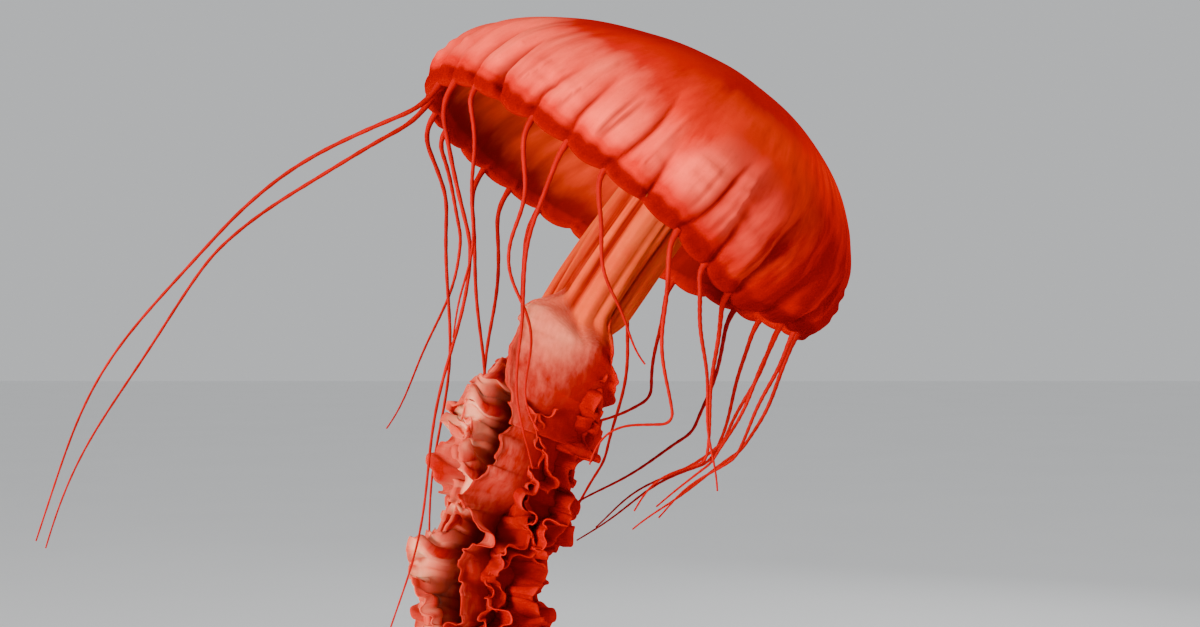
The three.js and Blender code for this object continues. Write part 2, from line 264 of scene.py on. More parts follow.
def jelly(name, colors, layers, speckle, shader, wart, streak):
    # mesoglea: wet, soft and faintly see-through, so light spreads under its smooth skin
    material, tree, surface = newMaterial(name, IOR=1.36, **shader)
    surface.inputs["Subsurface Radius"].default_value = tissue["scatter"]
    place = node(tree, "ShaderNodeTexCoord").outputs["Object"]
    cloud = node(tree, "ShaderNodeTexNoise", {"Vector": place},
                 {"Scale": 1 / (tissue["cloud"] * mm), "Detail": 5.0, "Roughness": 0.6}).outputs[0]
    low, high = tissue["cloudRange"]
    cloud = node(tree, "ShaderNodeMapRange", {"Value": cloud},
                 {"From Min": low, "From Max": high}).outputs[0]
    color = node(tree, "ShaderNodeMix", {0: cloud}, {6: colors[0], 7: colors[1]},
                 data_type="RGBA").outputs[2]
    # fine streaks run along the body's own flow, from crown to rim or along an arm
    flow = node(tree, "ShaderNodeAttribute", attribute_name="flow").outputs["Vector"]
    lines = node(tree, "ShaderNodeTexNoise", {"Vector": flow},
                 {"Scale": 1 / (streak * mm), "Detail": 4.0, "Roughness": 0.55}).outputs[0]
    uneven = node(tree, "ShaderNodeMath", {0: lines}, {1: 0.5}, operation="SUBTRACT").outputs[0]
    for mask, tint, torn in layers:
        # each layer's edge is torn a little by the streaks, but only where the layer is present
        mark = node(tree, "ShaderNodeAttribute", attribute_name=mask).outputs["Fac"]
        amount = node(tree, "ShaderNodeMath", {0: uneven, 2: mark}, {1: torn}, operation="MULTIPLY_ADD",
                      use_clamp=True).outputs[0]
        present = node(tree, "ShaderNodeMath", {0: mark}, {1: 6.0}, operation="MULTIPLY",
                       use_clamp=True).outputs[0]
        amount = node(tree, "ShaderNodeMath", {0: amount, 1: present}, operation="MULTIPLY").outputs[0]
        color = node(tree, "ShaderNodeMix", {0: amount, 6: color}, {7: tint}, data_type="RGBA").outputs[2]
    grain = node(tree, "ShaderNodeTexNoise", {"Vector": place},
                 {"Scale": 1 / (wart * mm), "Detail": 2.0, "Roughness": 0.7}).outputs[0]
    low, high = tissue["speckRange"]
    speck = node(tree, "ShaderNodeMapRange", {"Value": grain},
                 {"From Min": low, "From Max": high, "To Max": tissue["speck"]}).outputs[0]
    color = node(tree, "ShaderNodeMix", {0: speck, 6: color}, {7: speckle}, data_type="RGBA").outputs[2]
    tree.links.new(color, surface.inputs["Base Color"])
    height = node(tree, "ShaderNodeMath", {0: lines, 2: grain}, {1: tissue["streakHeight"]},
                  operation="MULTIPLY_ADD").outputs[0]
    bump = node(tree, "ShaderNodeBump", {"Height": height},
                {"Strength": tissue["bump"], "Distance": tissue["bumpHeight"] * mm})
    tree.links.new(bump.outputs[0], surface.inputs["Normal"])
    return material


def addFlow(piece, vectors):
    # the coordinates of the streaks, in millimetres: a direction that is squeezed in them is drawn out
    flow = piece.data.attributes.new("flow", "FLOAT_VECTOR", "POINT")
    flow.data.foreach_set("vector", np.asarray(vectors * mm, dtype=np.float32).ravel())


# Bell: one closed skin from the crown, over the margin and back up the underside. Bearings round the bell
# are in degrees: 0 the low side, 90 the far side, 180 the high side and 270 the near side. Shares run from 0
# at the crown to 1 at the rim, and a pair of them is where something begins and where it is complete.
bellSkinShape = {
    "around": 704, "down": 136,  # the sheet's columns and rows
    "lipStart": 0.6, "lipEnd": 0.68,  # the share of its rows where it turns round the lip
    "tip": 0.978, "lipBulge": 0.022, "lipThickness": 9.5, "thicker": (0.8, 0.93),
    "lappets": 32, "lappetHang": 2.8, "rim": (0.93, 0.985), "band": (0.944, 0.966),
    "bead": 0.8, "beadAt": 0.966, "beadHalf": 0.02, "valley": 0.6, "valleyAt": 0.938, "valleyHalf": 0.012,
    "notch": 2.2, "notchWidth": 2.4, "notchTop": (0.92, 0.985),
    "furrowDepth": 5.6, "furrowWidth": 2.2, "furrowTop": 0.58, "furrowTopRange": 0.22, "furrowFade": 0.2,
    "furrowFoot": 0.98, "furrowLean": 2.2, "furrowWaver": 0.6, "weakFurrows": 0.55, "weakFrom": 278,
    "creaseWidth": 1.3,
    "shortDepth": 0.9, "shortWidth": 1.7, "shortTop": (0.72, 0.84), "shortFoot": (0.9, 0.95),
    "pouch": 4.4, "pouchEdge": 9, "pouchTop": (0.5, 0.82), "cushionEdge": 5,
    "foldAt": 322, "foldHalf": 0.5, "foldHeight": 0.54, "foldTop": (0.5, 0.75), "foldFoot": (0.93, 0.98),
    "swell": 1.0, "dimple": 0.35, "wrinkle": 0.7, "wrinkleTop": (0.66, 0.8), "wrinkleFoot": (0.9, 0.94),
    "septa": 16, "septum": 1.1,
}
# where the colour zones lie
bellZones = {
    "salmonAt": 244, "salmonHalf": (52, 74), "salmonTop": (0.44, 0.63), "salmonFade": 0.17,
    "salmonFoot": (0.88, 0.95), "salmonElsewhere": 0.22, "nearAt": 270, "nearFade": (30, 76),
    "turnAt": 222, "crown": (0.36, 0.64), "vividHalf": (50, 105),
    "emberAt": 262, "emberTop": (0.4, 0.58), "emberFoot": (0.6, 0.8), "lowAt": 345,
    "farWallAt": 165, "farWallTop": (0.2, 0.5), "farWallFoot": (0.74, 0.95),
}


def between(value, begin, end):
    # 1 along a stretch, easing in over one pair of values and out over the other
    return ease(value, *begin) * (1 - ease(value, *end))


def laySheet(start):
    # lays the sheet on the bell: each point's theta, share, depth in the wall, and whether it is underneath
    shape = bellSkinShape
    theta = np.arctan2(start[:, 1], start[:, 0]) % (2 * math.pi)
    way = np.arccos(np.clip(start[:, 2], -1, 1)) / math.pi
    outer = np.clip(way / shape["lipStart"], 0, 1)
    lip = np.clip((way - shape["lipStart"]) / (shape["lipEnd"] - shape["lipStart"]), 0, 1)
    inner = np.clip((way - shape["lipEnd"]) / (1 - shape["lipEnd"]), 0, 1)
    share = np.where(way < shape["lipEnd"], 1 - (1 - outer) ** 1.3, 1 - inner ** 1.15) * shape["tip"]
    share = share + shape["lipBulge"] * np.sin(lip * math.pi) * (lip > 0) * (lip < 1)
    wall = wallThickness(share)
    wall = mix(wall, shape["lipThickness"], ease(share, *shape["thicker"]))
    depth = wall * (0.5 - 0.5 * np.cos(lip * math.pi))
    under = ease(way, shape["lipStart"], shape["lipEnd"])
    return theta, share, depth, under


def placeAmongLappets(theta, share):
    # counts the lappets round the bell, and measures how far off the nearest cleft and lappet's middle are
    shape = bellSkinShape
    lappet = (theta - firstRhopalium) / (2 * math.pi) * shape["lappets"]
    lappet = lappet + 0.1 * ripple(theta * 3, share * 9, 12) * (1 - ease(share, 0.9, 1))
    cleft = np.round(lappet) % shape["lappets"]
    own = np.floor(lappet) % shape["lappets"]
    rise = np.clip(shape["furrowFoot"] - share, 0, 0.5)
    lean = (scatter(cleft, 3) - 0.5) * shape["furrowLean"] * rise
    lean = lean + (scatter(cleft, 21) - 0.5) * shape["furrowWaver"] * np.sin(9 * rise)
    width = 2 * math.pi * bell["radius"] / shape["lappets"]
    offCleft = np.abs(lappet + lean - np.round(lappet)) * width
    offMiddle = np.abs(lappet - np.floor(lappet) - 0.5 + 0.4 * (scatter(own, 7) - 0.5) + lean * 0.5) * width
    return lappet, cleft, own, offCleft, offMiddle


def makeBellSkin():
    shape = bellSkinShape
    deselectAll()
    bpy.ops.mesh.primitive_uv_sphere_add(segments=shape["around"], ring_count=shape["down"], radius=1)
    piece = named("bell_skin")
    theta, share, depth, under = laySheet(pointsOf(piece))
    lappet, cleft, own, offCleft, offMiddle = placeAmongLappets(theta, share)
    atRim = ease(share, *shape["rim"])
    hang = np.abs(np.sin(math.pi * lappet)) ** 0.8 * (0.6 + 0.7 * scatter(own, 5))
    share = share + shape["lappetHang"] / bell["radius"] * (hang - 0.4) * atRim

    # furrows climb from the clefts between the lappets, each with its own length and depth, and are weaker
    # toward the low side
    strength = 0.35 + 0.85 * scatter(cleft, 1)
    strength = strength * (1 - shape["weakFurrows"] * ease(awayFrom(theta, shape["weakFrom"]), -0.25, 0.3))
    top = shape["furrowTop"] + shape["furrowTopRange"] * scatter(cleft, 2)
    climb = ease(share, top, top + shape["furrowFade"])
    furrow = hump(offCleft, shape["furrowWidth"] * (0.7 + 0.6 * climb)) * strength * climb
    furrow = furrow * (1 - 0.5 * ease(share, 0.95, 0.98))
    short = hump(offMiddle, shape["shortWidth"]) * scatter(own, 9)
    short = short * between(share, shape["shortTop"], shape["shortFoot"])
    # the pouches stand out between the furrows
    pouch = (1 - hump(offCleft, shape["pouchEdge"])) * between(share, shape["pouchTop"], shape["rim"])
    pouch = pouch * (0.6 + 0.8 * scatter(own, 11))
    # the margin: a dark band with a bead along each lappet and a notch at each cleft
    uneven = 0.008 * ripple(theta * 30, share * 9, 26)
    band = ease(share + uneven, *shape["band"])
    notch = hump(offCleft, shape["notchWidth"]) * ease(share, *shape["notchTop"])
    notch = notch * (0.25 + 0.9 * scatter(cleft, 13))
    bead = 0.4 + 1.1 * scatter(own, 15) * np.sin(math.pi * lappet) ** 2
    bead = bead * hump(share - shape["beadAt"], shape["beadHalf"])
    valley = hump(share - shape["valleyAt"], shape["valleyHalf"])
    # soft folds run across a stretch between the near side and the low side
    fold = hump(awayFrom(theta, shape["foldAt"]), shape["foldHalf"]) * np.sin(share * 40 + theta * 9)
    fold = fold * between(share, shape["foldTop"], shape["foldFoot"])

    proud = pouch * shape["pouch"] - furrow * shape["furrowDepth"] - short * shape["shortDepth"]
    proud = proud + bead * shape["bead"] - valley * shape["valley"] - notch * shape["notch"]
    proud = proud + fold * shape["foldHeight"]
    proud = proud + shape["swell"] * ripple(theta * 4, share * 9, 2) * ease(share, 0.1, 0.5)
    proud = proud + shape["dimple"] * ripple(theta * 22, share * 30, 3) * ease(share, 0.6, 0.9)
    wrinkled = ease(ripple(theta * 5, share * 11, 23), 0, 0.7)
    wrinkled = wrinkled * between(share, shape["wrinkleTop"], shape["wrinkleFoot"])
    proud = proud + shape["wrinkle"] * wrinkled * ripple(theta * 9, share * 80, 24)
    proud = proud + ripple(theta * 70, share * 40, 4) * 0.5 * atRim
    # the septa divide the underside into its radial pouches
    septa = np.cos(shape["septa"] * (theta - firstRhopalium)) * shape["septum"] * ease(share, 0.3, 0.6)
    septa = septa + 0.6 * ripple(theta * 9, share * 14, 6)
    lift = proud * (1 - under) - (septa + notch * 2.0) * under
    points = bellPoint(theta, share, depth)
    inside = bellPoint(theta, share, np.full_like(share, 6))
    outwards = unit(bellPoint(theta, share, np.zeros_like(share)) - inside)
    movePoints(piece, points + outwards * lift[:, None])

    # painted shade: the furrows and the creases at the clefts are darkened, and the salmon fades out of them
    # and near the clefts
    paintedCreaseShade = hump(offCleft, shape["creaseWidth"]) * climb * (0.5 + 0.5 * strength) * (1 - 0.5 * band)
    cushion = 1 - 0.5 * hump(offCleft, shape["cushionEdge"]) * ease(share, 0.66, 0.8)
    addMask(piece, "furrow", (paintedCreaseShade + furrow * 0.5 + short * 0.8) * (1 - under))
    addMask(piece, "band", band * (1 - under * 0.7))
    addMask(piece, "under", under * (1 - 0.75 * band))
    paintZones(piece, theta, share, under, uneven, band, cushion * (1 - 0.8 * np.clip(paintedCreaseShade, 0, 1)))
    faceOutwards(piece)
    return piece


def paintZones(piece, theta, share, under, uneven, band, awayFromCreaseShade):
    # the colour zones: salmon on the near and high side, partly painted light where the key light falls, red
    # over the crown with brighter painted light on the side away from the key light, painted shade on the
    # low side, and wine below with a painted glow through the far wall
    zone = bellZones
    above = 1 - under
    # painted light: the salmon is the pouches' own colour in part, but it is strongest on the near and high
    # side where the key light falls, and fainter elsewhere
    offSalmon = np.abs(awayFrom(theta, zone["salmonAt"]) + 0.12 * ripple(share * 14, theta * 2, 14))
    near = 1 - ease(offSalmon, *np.radians(zone["salmonHalf"]))
    cloudy = share + 0.05 * ripple(theta * 5, share * 6, 16)
    start = mix(*zone["salmonTop"], ease(awayFrom(theta, zone["turnAt"]), -0.4, 0.4))
    pale = ease(cloudy, start, start + zone["salmonFade"]) * (1 - ease(share + uneven, *zone["salmonFoot"]))
    pale = pale * mix(zone["salmonElsewhere"], 1, near) * (0.8 + 0.25 * ripple(theta * 8, share * 9, 8))
    pale = pale * (1 - 0.5 * ease(np.abs(awayFrom(theta, zone["nearAt"])), *np.radians(zone["nearFade"])))
    addMask(piece, "pale", pale * awayFromCreaseShade * above)
    addMask(piece, "crown", (1 - ease(cloudy, *zone["crown"])) * above * 0.62)
    # painted light: a brighter red on the side away from the key light, standing in for light the lamps give
    # less of there
    paintedLightAway = ease(np.abs(awayFrom(theta, zone["turnAt"])), *np.radians(zone["vividHalf"]))
    addMask(piece, "paintedLightAway", mix(paintedLightAway, 0.55, 1 - ease(share, 0.1, 0.5)) * above)
    # the glow is mottled in patches about 26 mm wide
    reach = bell["radius"] * np.sin(np.clip(share, 0, 1) * 1.5) / 26
    addMask(piece, "glow", (0.1 + 0.4 * ripple(reach * np.cos(theta), reach * np.sin(theta), 18)) * above)
    edging = between(cloudy, zone["emberTop"], zone["emberFoot"]) * near
    edging = edging + 4 * near * (1 - near) * ease(share, 0.5, 0.75)
    edging = edging * ease(awayFrom(theta, zone["emberAt"]), -0.3, 0.6)
    addMask(piece, "ember", edging * 0.8 * (1 - band) * above)
    # painted shade: darker red over the low side, away from the key light
    paintedShadeLowSide = ease(np.cos(awayFrom(theta, zone["lowAt"])), 0.3, 0.9) * ease(share, 0.35, 0.8)
    addMask(piece, "paintedShadeLowSide", paintedShadeLowSide * above)
    # painted glow: light showing through the bell brightens the far, high side of the underside
    paintedGlowFarWall = ease(np.cos(awayFrom(theta, zone["farWallAt"])), -0.1, 0.8)
    paintedGlowFarWall = paintedGlowFarWall * between(share, zone["farWallTop"], zone["farWallFoot"])
    addMask(piece, "paintedGlowFarWall", paintedGlowFarWall * under * (0.75 + 0.3 * ripple(theta * 26, share * 5, 31)))
    addFlow(piece, np.stack([70 * np.cos(theta), 70 * np.sin(theta), share * 26 + under * 1.5], -1))


# the exumbrella: orange-red, with salmon pouches that are partly painted light, brighter painted light on
# the side away from the key light, a deeper crown, painted shade in the furrows and on the low side, and a
# saturated red margin over a wine underside with a painted glow on its far wall
bellJelly = jelly(
    "sea_nettle_bell_mesoglea", ("#bc0600", "#ac0000"),
    [("paintedLightAway", "#f40800", 0.8), ("glow", "#f01c00", 0.8), ("crown", "#b80000", 1.6),
     ("ember", "#f43208", 0.9), ("pale", "#ff5a44", 1.0), ("paintedShadeLowSide", "#8c0000", 1.5),
     ("furrow", "#7c0000", 0.2), ("band", "#740000", 0.1), ("under", "#780400", 0.6),
     ("paintedGlowFarWall", "#e03c10", 0.9)],
    "#b00000",
    {"Roughness": 0.5, "Subsurface_Weight": 0.5, "Subsurface_Scale": 4 * mm, "Specular_IOR_Level": 0.0},
    wart=1.8, streak=4.5,
)

bellSkin = makeBellSkin()
give(bellSkin, bellJelly)
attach(bellSkin, "root")
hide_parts("bell", "bell_margin")
print("bell skin made")

# Oral arms: four frilled membranes that start as the fluted quarters of the manubrium. Drops are in
# millimetres below the top of the axis. A spread is a stretch of the arm that lies open and smooth, as
# (drop, half its height, how far it opens), "free" is where the arm leaves the manubrium, and "shelf" is how
# far its first edge curls up.
armShape = {
    "rows": 1140, "columns": 30, "lipColumns": 11, "manubriumRows": 0.13, "manubriumRowEnd": 96,
    "footEnd": 26, "footShare": 0.26, "footBend": 10, "manubriumLength": 110, "manubriumRadius": 25.5,
    "quarter": 47, "pleat": 1.9, "finePleat": 0.9, "corner": 3.4,
    "topRadius": 27, "fullDrop": 168, "taperDrop": 300,
    "tipShare": 0.34, "tipEnd": 50, "lastDrop": 606, "twist": 40, "splay": 24, "splayDrop": 290,
    "sway": 16, "bend": 14, "torn": 0.15, "slide": 0.34, "membrane": 1.1, "edgeShare": 0.5,
}
# an arm's stem is how much painted shade darkens its quarter of the manubrium
arms = [
    {"name": "right", "angle": 0, "radius": 46, "swell": 4, "pitch": 62, "peak": 188, "end": 560,
     "free": (112, 160), "spreads": [(250, 18, 0.5), (390, 30, 0.6)], "lips": 160, "seed": 1, "lean": -6,
     "pale": 0.1, "paleEnd": 600, "wide": (1, 1), "stem": 0.35, "fine": 1.1, "shelf": 5},
    {"name": "back", "angle": 90, "radius": 37, "swell": 3, "pitch": 80, "peak": 240, "end": 590,
     "free": (110, 165), "spreads": [(200, 30, 0.8), (350, 26, 0.6)], "lips": 180, "seed": 2, "lean": 10,
     "pale": 0.4, "paleEnd": 600, "wide": (1, 1), "stem": 0.6, "fine": 1, "shelf": 5},
    {"name": "left", "angle": 180, "radius": 39, "swell": 11, "pitch": 86, "peak": 203, "end": 575,
     "free": (138, 178), "spreads": [(330, 26, 0.5)], "lips": 172, "seed": 3, "lean": -8,
     "pale": 1.0, "paleEnd": 600, "wide": (1, 1), "stem": 0.4, "fine": 1.7, "shelf": 6},
    {"name": "front", "angle": 270, "radius": 40, "swell": 7, "pitch": 92, "peak": 152, "end": 606,
     "free": (126, 139), "spreads": [(147, 27, 1.0), (208, 46, 0.85), (300, 24, 0.6), (430, 30, 0.6)],
     "lips": 184, "seed": 4, "lean": 14,
     "pale": 0.95, "paleEnd": 144, "wide": (1.45, 1.05), "stem": 0, "fine": 1, "shelf": -10},
]
# each ruffle is finer than the one before: its length along the arm, its height, how near the edge it stays
ruffles = [(46, 7.5, 1.4), (18, 4.2, 1.3), (7.6, 1.7, 1.3), (3.6, 0.3, 4.0)]
tulip = {"rib": 0.16, "from": 72, "to": 2, "length": 0.95}  # the arm's section, rolled up
dome = {"rib": 0.86, "from": 88, "to": 130, "wrap": 50, "length": 0.98, "curl": 8}  # and spread open
lips = {"rib": 0.12, "from": 22, "to": -14, "length": 0.86}  # the second pair of frills inside the first


def armReach(arm, drop):
    spread = ease(drop, armShape["manubriumLength"], armShape["fullDrop"])
    lobes = arm["swell"] * np.cos(2 * math.pi * (drop - arm["peak"]) / arm["pitch"])
    taper = mix(1, armShape["tipShare"], ease(drop, armShape["taperDrop"], arm["end"]))
    taper = taper * mix(1, 0.3, ease(drop, arm["end"] - armShape["tipEnd"], arm["end"]))
    return mix(armShape["topRadius"], arm["radius"] + lobes, spread) * taper


def armDirections(arm, drop):
    # the arm's place on the axis, the way it faces, the way round the axis, and down
    shape = armShape
    centre, right, back, down = axisFrame(drop)
    armLength = shape["lastDrop"] - shape["manubriumLength"]
    turn = np.radians(arm["angle"] + shape["twist"] * (drop - shape["manubriumLength"]) / armLength)
    out = right * np.cos(turn)[:, None] + back * np.sin(turn)[:, None]
    around = -right * np.sin(turn)[:, None] + back * np.cos(turn)[:, None]
    return centre, out, around, down


def pleatsOf(side, drop, seed):
    quarter = side * math.radians(armShape["quarter"])
    pleats = armShape["pleat"] * ripple(quarter * 7, drop / 70, seed)
    return pleats + armShape["finePleat"] * ripple(quarter * 21, drop / 40, seed + 4)


def pillarPoints(arm, side, drop, centre, out, around):
    # a quarter of the manubrium, its foot flowing into the bell's underside
    shape = armShape
    quarter = side * math.radians(shape["quarter"])
    flute = pleatsOf(side, drop, arm["seed"]) - shape["corner"] * np.abs(side) ** 5
    away = out * np.cos(quarter)[:, None] + around * np.sin(quarter)[:, None]
    ring = centre + away * (shape["manubriumRadius"] + flute)[:, None]
    theta = np.arctan2(away @ bellBack, away @ bellLow)
    share = np.full_like(drop, shape["footShare"])
    foot = bellPoint(theta, share, wallThickness(share) - 1.5)
    bend = ring - unit(axisPoint(drop + 1) - axisPoint(drop)) * shape["footBend"]
    rise = 1 - np.clip(drop / shape["footEnd"], 0, 1)[:, None]
    return ring * (1 - rise) ** 2 + 2 * bend * rise * (1 - rise) + foot * rise ** 2


def wingSection(arm, side, drop, reach, spread, folded, seed):
    # a rib with a wing to each side: how far out and across each point lies, and which way it faces
    shape = armShape
    edge, hand = np.abs(side), np.sign(side)
    first = np.radians(mix(folded["from"], dome["from"], spread))
    wrap = dome["wrap"] * ease(drop, 160, 200)
    last = mix(folded["to"], dome["to"] + wrap, spread) + shape["bend"] * ripple(drop / 34, hand, seed + 2)
    last = np.radians(last)
    torn = shape["torn"] * ripple(drop / 12, hand * 2, seed + 3) * (1 - 0.5 * spread)
    torn = torn + mix(0.07, 0.02, spread * (drop < 190)) * ripple(drop / 3.4, hand, seed + 6)
    wide = mix(np.where(hand < 0, arm["wide"][0], arm["wide"][1]), 1, ease(drop, 156, 225))
    opened = np.clip((drop - arm["free"][0] + 8) / 42, 0, 1)
    rounded = mix(0.3, 1, np.sqrt(1 - (1 - opened) ** 2))
    length = reach * mix(folded["length"], dome["length"] * wide * rounded, spread)
    length = length * (1 + edge * (torn - 0.08))
    heading = mix(first, last, edge)
    bent = np.where(np.abs(last - first) < 0.05, 0.05, last - first)
    outwards = mix(folded["rib"], dome["rib"], spread) * reach
    outwards = outwards + length * (np.sin(first + bent * edge) - np.sin(first)) / bent
    across = length * (np.cos(first) - np.cos(first + bent * edge)) / bent * hand
    return outwards, across, -np.sin(heading), np.cos(heading) * hand


def ruffleOf(arm, side, drop, reach, calm, seed):
    # the ruffles swing across the membrane, and slide along it so that their crests curl over
    edge, hand = np.abs(side), np.sign(side)
    ruffle, slide = 0, 0
    for k, (pitch, tall, near) in enumerate(ruffles):
        tall = tall * (arm["fine"] if k > 1 else 1)
        phase = 2 * math.pi * drop / pitch + hand * (1.3 + k) + seed * (k + 1)
        phase = phase + 1.5 * ripple(drop / pitch * 0.7, side * 2.2, seed + k) + 1.2 * edge
        swing = tall * edge ** near * reach / 40 * calm
        ruffle = ruffle + swing * np.sin(phase)
        slide = slide - armShape["slide"] * swing * np.sin(2 * phase)
    return ruffle, slide


def armSurface(arm, side, drop, folded=tulip):
    # side runs from -1 to 1 across the membrane
    shape, seed = armShape, arm["seed"] + folded["from"]
    edge, hand = np.abs(side), np.sign(side)
    centre, out, around, down = armDirections(arm, drop)
    pillar = pillarPoints(arm, side, drop, centre, out, around)
    spread = sum(amount * np.exp(-((drop - at) / tall) ** 4) for at, tall, amount in arm["spreads"])
    spread = np.clip(spread, 0, 1) * (folded is tulip)
    reach = mix(armReach(arm, drop), arm["radius"], 0.8 * spread * (drop < 200))
    outwards, across, normalOut, normalAcross = wingSection(arm, side, drop, reach, spread, folded, seed)
    calm = 1 - spread * mix(0.75, 0.45, ease(drop, 190, 215))
    ruffle, slide = ruffleOf(arm, side, drop, reach, calm, seed)
    # where it lies open, the edge curls back over itself
    curl = ease(edge, 0.7, 1) * spread
    outwards = outwards + normalOut * ruffle + dome["curl"] * curl
    across = across + normalAcross * ruffle - 0.4 * dome["curl"] * curl ** 2 * hand
    # the first edge to come free curls up into a shelf or hangs in a round corner
    slide = slide - arm["shelf"] * edge ** 2 * hump(drop - arm["free"][0] - 4, 18)

    lean = np.radians(arm["lean"] + shape["sway"] * ripple(drop / 50, 0 * drop, seed + 9))
    splay = shape["splay"] * ease(drop, shape["splayDrop"], shape["lastDrop"])
    turnedOut = out * np.cos(lean)[:, None] + around * np.sin(lean)[:, None]
    turnedAround = around * np.cos(lean)[:, None] - out * np.sin(lean)[:, None]
    frill = centre + out * splay[:, None] + turnedOut * outwards[:, None]
    frill = frill + turnedAround * across[:, None] + down * slide[:, None]
    free = ease(drop + 14 * (edge - 0.5), *arm["free"])
    return mix(pillar, frill, free[:, None]), free, ruffle, spread


def paintMembrane(piece, arm, side, drop, points, free, ruffle, spread):
    # salmon toward -X and -Y, partly the lobes' own colour and partly painted light on the side the key
    # light falls on, with painted highlights on the crests; painted shade in its folds, crevices and pleats,
    # and deep red along its edge
    edge = np.abs(side)
    centre = axisPoint(drop)
    facing = (centre[:, 0] - points[:, 0]) * 0.8 + (centre[:, 1] - points[:, 1]) * 0.55
    paleness = arm["pale"] * (1 - 0.85 * ease(drop, arm["paleEnd"], arm["paleEnd"] + 26))
    # painted light: salmon on the side that faces the key light, more on the paler arms
    lit = ease(facing, -6, 26) * mix(0.04, 1, paleness)
    # painted shade: the valley mask darkens the membrane where its ruffles swing one way, standing in for
    # the shade in their folds
    crest = ease(ruffle * 40 / armReach(arm, drop), -1, 7)
    # painted highlight: cream on the lit crests of the paler arms, toward their edges
    paintedCreamHighlight = lit * ease(arm["pale"], 0.7, 1) * ease(-ruffle, -1, 4) * ease(edge, 0.4, 0.8) * 0.6
    pleats = ease(edge, 0.62, 1) + ease(-pleatsOf(side, drop, arm["seed"]), 0.3, 2.2)
    addMask(piece, "free", free)
    addMask(piece, "lit", free * lit * (0.85 + 0.3 * ripple(drop / 18, side * 3, arm["seed"] + 7)))
    addMask(piece, "paintedCreamHighlight", free * paintedCreamHighlight)
    # painted shade: darker toward the rib, deep in the folded membrane
    addMask(piece, "paintedCreviceShade", free * (1 - ease(edge, 0.25, 0.8)) * (1 - spread) * 0.9)
    addMask(piece, "valley", free * crest * (1 - ease(edge, 0.92, 1)) * (1 - 0.8 * spread))
    addMask(piece, "edge", free * ease(edge, 0.9, 1) * 0.7)
    # painted shade in the pleats' grooves and along the edges where the manubrium's quarters meet
    addMask(piece, "paintedGrooveShade", (1 - free) * pleats)
    # painted shade: each arm's quarter of the manubrium is darkened by its stem value, most on the back,
    # none on the front
    addMask(piece, "stem", (1 - free) * arm["stem"])
    addMask(piece, "top", 1 - ease(drop, 8, 70))
    # the streaks are long along the manubrium and shorter on the frills
    ownArm = np.full_like(side, arm["seed"] * 90)
    addFlow(piece, np.stack([side * 32, ownArm, drop * 0.12 + free * drop * 0.3], -1))


def makeMembrane(arm, columns, folded):
    shape = armShape
    deselectAll()
    bpy.ops.mesh.primitive_grid_add(x_subdivisions=columns, y_subdivisions=shape["rows"], size=2)
    piece = named("oral_arm_" + arm["name"] + "_skin")
    start = pointsOf(piece)
    side = np.sign(start[:, 0]) * (1 - (1 - np.abs(start[:, 0])) ** 1.35)
    way = 0.5 - 0.5 * start[:, 1]
    if folded is tulip:
        # rows lie further apart on the manubrium than on the frills
        top, rowEnd = shape["manubriumRows"], shape["manubriumRowEnd"]
        below = mix(rowEnd, arm["end"], (way - top) / (1 - top))
        drop = np.where(way < top, mix(0, rowEnd, way / top), below)
    else:
        drop = mix(arm["lips"], arm["end"] - 6, way)
    points, free, ruffle, spread = armSurface(arm, side, drop, folded)
    movePoints(piece, points)
    paintMembrane(piece, arm, side, drop, points, free, ruffle, spread)
    # the membrane thins toward its edges
    body = piece.vertex_groups.new(name="body")
    stout = 1 - free * ease(np.abs(side), 0.3, 1)
    for step in range(6):
        near = np.flatnonzero(np.round(stout * 5) == step)
        body.add([int(index) for index in near], step / 5, "REPLACE")
    solid = piece.modifiers.new("membrane", "SOLIDIFY")
    solid.thickness = shape["membrane"] * mm
    solid.offset = 0
    solid.vertex_group = "body"
    solid.thickness_vertex_group = shape["edgeShare"]
    bpy.ops.object.modifier_apply(modifier="membrane")
    piece.vertex_groups.clear()
    return piece


def makeArmSkin(arm):
    wings = makeMembrane(arm, armShape["columns"], tulip)
    inner = makeMembrane(arm, armShape["lipColumns"], lips)
    deselectAll()
    inner.select_set(True)
    wings.select_set(True)
    bpy.context.view_layer.objects.active = wings
    bpy.ops.object.join()
    bpy.ops.object.shade_smooth()
    return wings


# oral arm tissue: a thin frilled membrane, beige-orange on the manubrium, salmon where it is open with
# painted light on its lit side and painted highlights on its crests, and deep red with painted shade in its
# folds, grooves and crevices
armJelly = jelly(
    "sea_nettle_oral_arm_membrane", ("#f05426", "#d84014"),
    [("stem", "#7c0a00", 0.3), ("top", "#701000", 0.4), ("paintedGrooveShade", "#840800", 0.6),
     ("free", "#900000", 0.2), ("lit", "#ff8062", 0.8), ("paintedCreamHighlight", "#ff9674", 0.4),
     ("paintedCreviceShade", "#780000", 0.4), ("valley", "#8c0000", 0.8), ("edge", "#ac0a04", 0.5)],
    "#b82408",
    {"Roughness": 0.5, "Subsurface_Weight": 0.8, "Subsurface_Scale": 5 * mm, "Specular_IOR_Level": 0.0},
    wart=0.9, streak=3,
)
for arm in arms:
    armSkin = makeArmSkin(arm)
    give(armSkin, armJelly)
    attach(armSkin, "root")
    replaced = ["oral_arm_" + arm["name"] + "_" + part for part in ("upper", "middle", "lower")]
    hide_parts(*(replaced + (["manubrium"] if arm["name"] == "front" else [])))
    print("oral arm made:", arm["name"])

